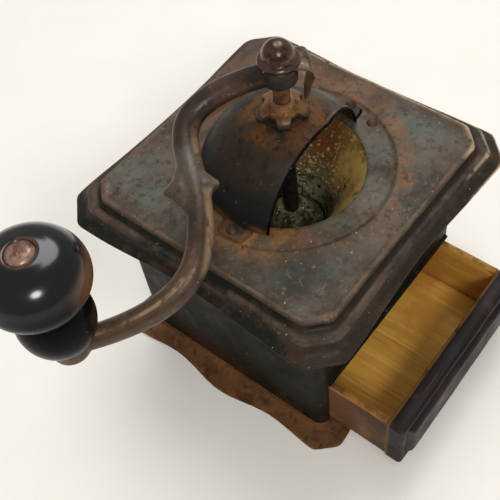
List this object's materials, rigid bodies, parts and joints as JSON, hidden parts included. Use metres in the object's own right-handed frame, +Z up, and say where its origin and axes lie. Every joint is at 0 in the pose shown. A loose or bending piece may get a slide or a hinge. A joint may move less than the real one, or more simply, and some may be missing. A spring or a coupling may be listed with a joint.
{
  "type": "hand crank coffee grinder",
  "caption": "Old sheet-metal box coffee grinder with a moulded top, half-open hopper hood, S-shaped hand crank with a turned knob, grind adjuster and pull-out wooden drawer.",
  "frame": {"origin": "middle of the base's underside, on the ground", "axes": "+Z up along the shaft; the drawer opens towards -Y; +X is to the right seen from the drawer's side"},
  "size_m": [0.2011, 0.1616, 0.166],
  "materials": {
    "base_steel": "rusty red-brown, matt",
    "body_paint": "old dark green-black paint, dull",
    "cover_paint": "worn slate paint with brown haze, satin",
    "bowl_steel": "ochre-stained sheet, matt",
    "hood_paint": "worn brown-black paint, satin",
    "rivet_steel": "dull and rusty",
    "bush_steel": "dull, greasy",
    "carrier_iron": "rough casting",
    "burr_iron": "dull, toothed",
    "shaft_steel": "dark, greasy",
    "nut_steel": "rusty tan",
    "pawl_steel": "tan-brown",
    "crank_iron": "dark bronze-brown, worn shiny",
    "cap_steel": "polished dark chestnut",
    "knob_wood": "black lacquer, glossy",
    "pin_steel": "coppery brown",
    "front_wood": "dark brown-black paint, worn",
    "drawer_wood": "golden pine, bare",
    "nail_steel": "dull"
  },
  "bodies": {
    "housing": {"base_plate": "base_steel", "body_shell": "body_paint", "top_cover": "cover_paint", "drawer_runners": "drawer_wood", "hopper_bowl": "bowl_steel", "hood": "hood_paint", "hood_rivets": "rivet_steel", "hood_bush": "bush_steel", "burr_carrier": "carrier_iron", "burr_ring": "burr_iron", "lower_bridge": "carrier_iron", "guide_bush": "bush_steel", "bridge_screws": "rivet_steel"},
    "key_washer": {"thrust_washer": "shaft_steel"},
    "nut": {"adjusting_nut": "nut_steel"},
    "spindle": {"shaft": "shaft_steel", "inner_burr": "burr_iron", "burr_pin": "shaft_steel", "crank_arm": "crank_iron", "cap_nut": "cap_steel", "pawl_spring": "pawl_steel", "knob_pin": "pin_steel", "knob_washer": "pin_steel"},
    "knob": {"crank_knob": "knob_wood"},
    "drawer": {"drawer_front": "front_wood", "drawer_left_side": "drawer_wood", "drawer_right_side": "drawer_wood", "drawer_back": "drawer_wood", "drawer_bottom": "drawer_wood", "drawer_nails": "nail_steel"}
  },
  "joints": [
    {"name": "crank_turn", "type": "hinge", "parent": "housing", "child": "key_washer", "pos_m": [0, 0, 0.1315], "axis": [0, 0, 1], "continuous": true},
    {"name": "grind_adjust", "type": "hinge", "parent": "key_washer", "child": "nut", "pos_m": [0, 0, 0.1345], "axis": [0, 0, 1], "range_deg": [-145, 577], "deforming": ["pawl_spring"]},
    {"name": "shaft_lift", "type": "slide", "parent": "key_washer", "child": "spindle", "axis": [0, 0, 1], "range_m": [-0.002, 0.0005]},
    {"name": "knob_spin", "type": "hinge", "parent": "spindle", "child": "knob", "pos_m": [-0.11298, 0.01187, 0.135], "axis": [0, 0, 1], "continuous": true},
    {"name": "drawer_slide", "type": "slide", "parent": "housing", "child": "drawer", "axis": [0, -1, 0], "range_m": [-0.0398, 0.04]}
  ],
  "couplings": [
    {"joint": "grind_adjust", "follows": "shaft_lift", "rad_per_m": -5026.5}
  ]
}
